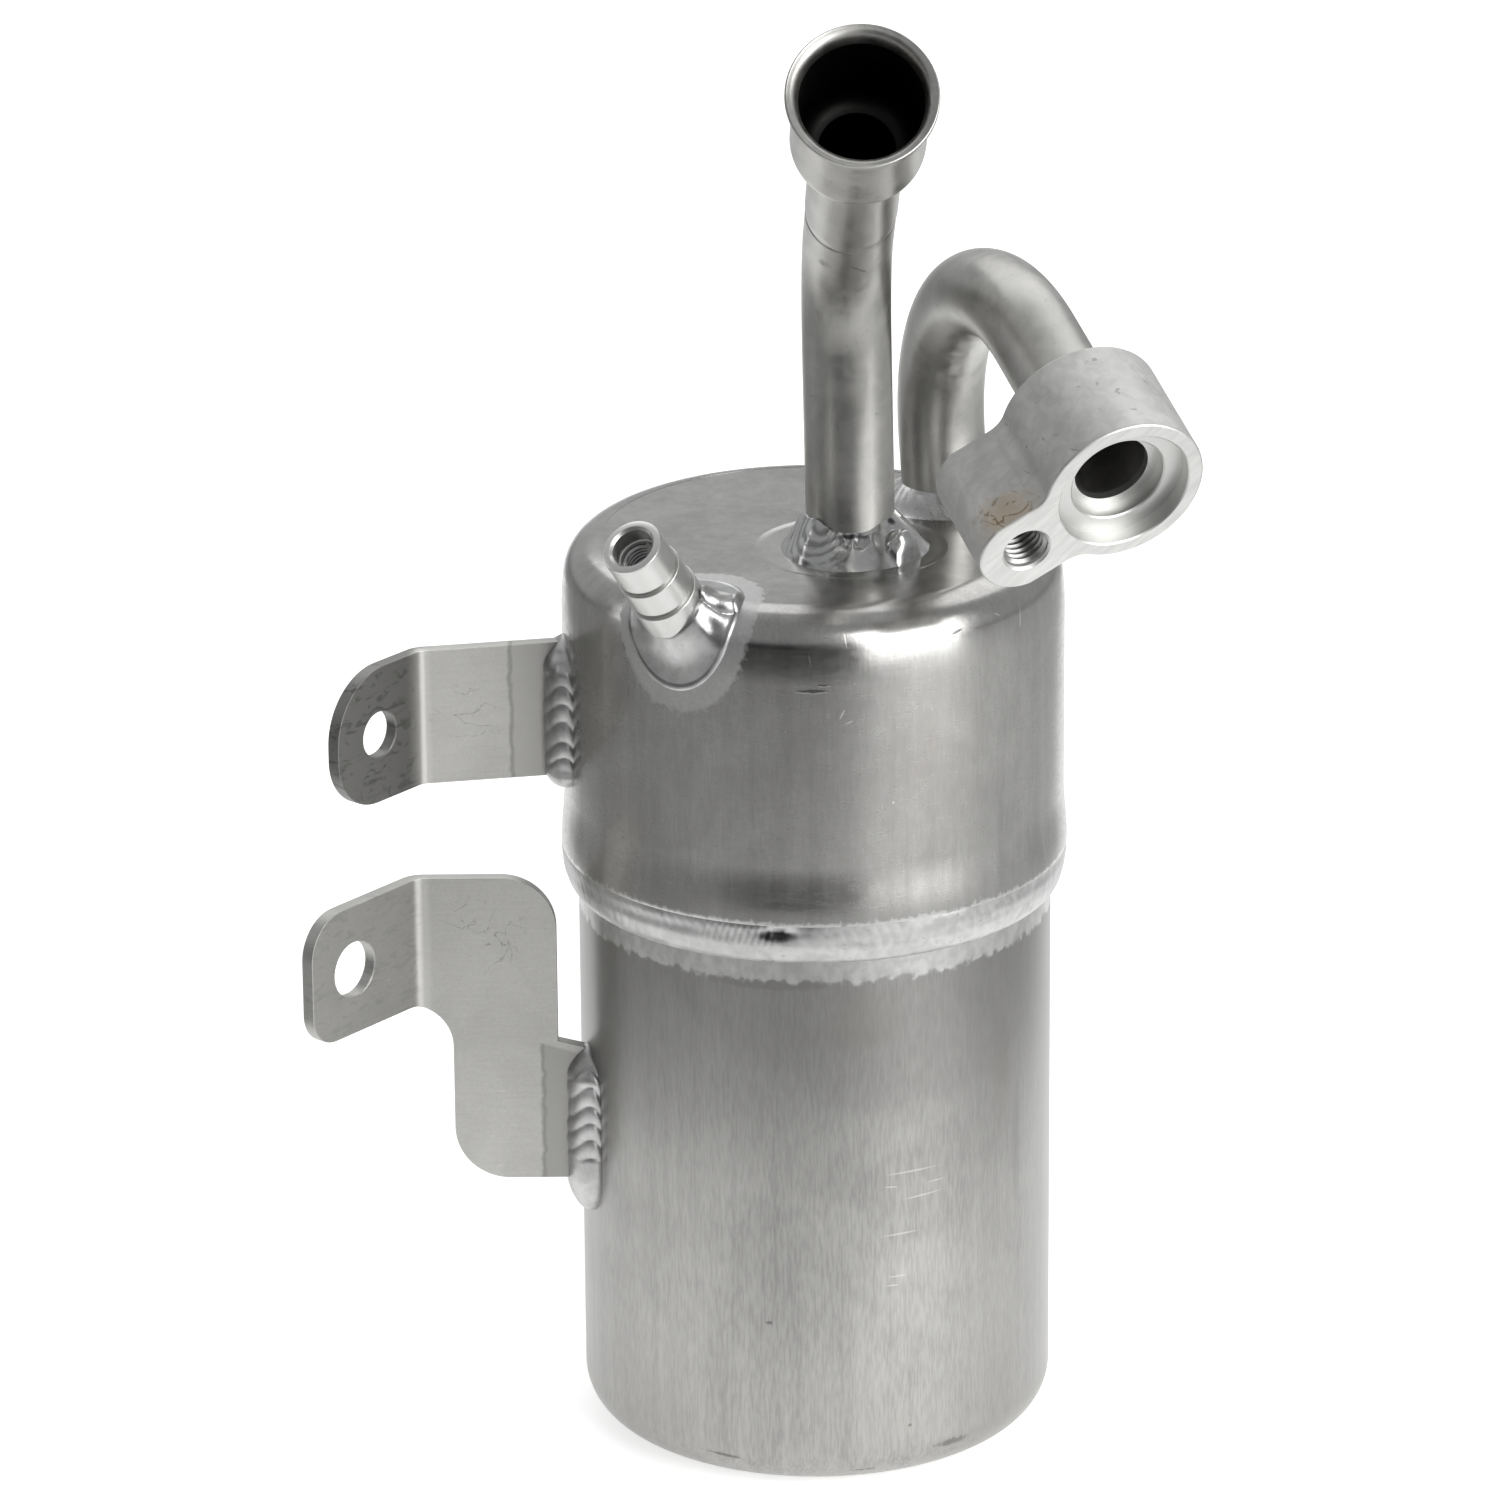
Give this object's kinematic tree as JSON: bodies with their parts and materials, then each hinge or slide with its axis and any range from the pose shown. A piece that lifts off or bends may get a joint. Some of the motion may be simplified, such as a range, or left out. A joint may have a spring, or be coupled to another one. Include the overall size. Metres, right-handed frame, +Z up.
{
  "type": "suction line accumulator",
  "caption": "Welded aluminium suction line accumulator with a socketed inlet tube, an arched outlet tube ending in a bolt-on block, a shoulder service port and folded side brackets.",
  "frame": {"origin": "centre of the can's flat bottom, on the can's axis", "axes": "+Z runs up the can's axis towards the tubes, -Y is the side that the inlet socket and the outlet block point to, and -X is the side of the folded brackets"},
  "size_m": [0.1573, 0.1221, 0.2787],
  "materials": {
    "upper_shell": "drawn aluminium, satin, with fine vertical draw lines and a brighter shoulder",
    "lower_shell": "drawn aluminium, satin, with strong fine vertical streaks and light scratches",
    "girth_weld": "smooth shiny weld bead with a darker start and stop crater",
    "inlet_tube": "extruded tube, matte grey with die marks and darker smudges",
    "inlet_weld": "shiny rippled weld bead",
    "outlet_tube": "extruded tube, satin, with small pits inside the bend",
    "outlet_weld": "shiny rippled weld bead",
    "outlet_block": "satin sides with pale brown stains, very light machined face",
    "service_port": "turned, bright",
    "service_port_weld": "shiny weld bead in a brushed ring",
    "upper_bracket": "matte rolled sheet with faint scratches",
    "upper_bracket_weld": "shiny bead with stacked ripples",
    "lower_bracket": "matte rolled sheet with faint scratches",
    "lower_bracket_weld": "shiny bead with stacked ripples",
    "pickup_tube": "plain drawn tube",
    "vapour_baffle": "moulded, matte black",
    "desiccant_bag": "off-white felt",
    "bag_strap": "natural nylon",
    "bleed_filter_housing": "moulded, matte black",
    "bleed_filter_screen": "woven nylon mesh"
  },
  "bodies": {
    "root": {"upper_shell": "upper_shell", "lower_shell": "lower_shell", "girth_weld": "girth_weld", "inlet_tube": "inlet_tube", "inlet_weld": "inlet_weld", "outlet_tube": "outlet_tube", "outlet_weld": "outlet_weld", "outlet_block": "outlet_block", "service_port": "service_port", "service_port_weld": "service_port_weld", "upper_bracket": "upper_bracket", "upper_bracket_weld": "upper_bracket_weld", "lower_bracket": "lower_bracket", "lower_bracket_weld": "lower_bracket_weld", "pickup_tube": "pickup_tube", "vapour_baffle": "vapour_baffle", "desiccant_bag": "desiccant_bag", "bag_strap": "bag_strap", "bleed_filter_housing": "bleed_filter_housing", "bleed_filter_screen": "bleed_filter_screen"}
  },
  "joints": []
}
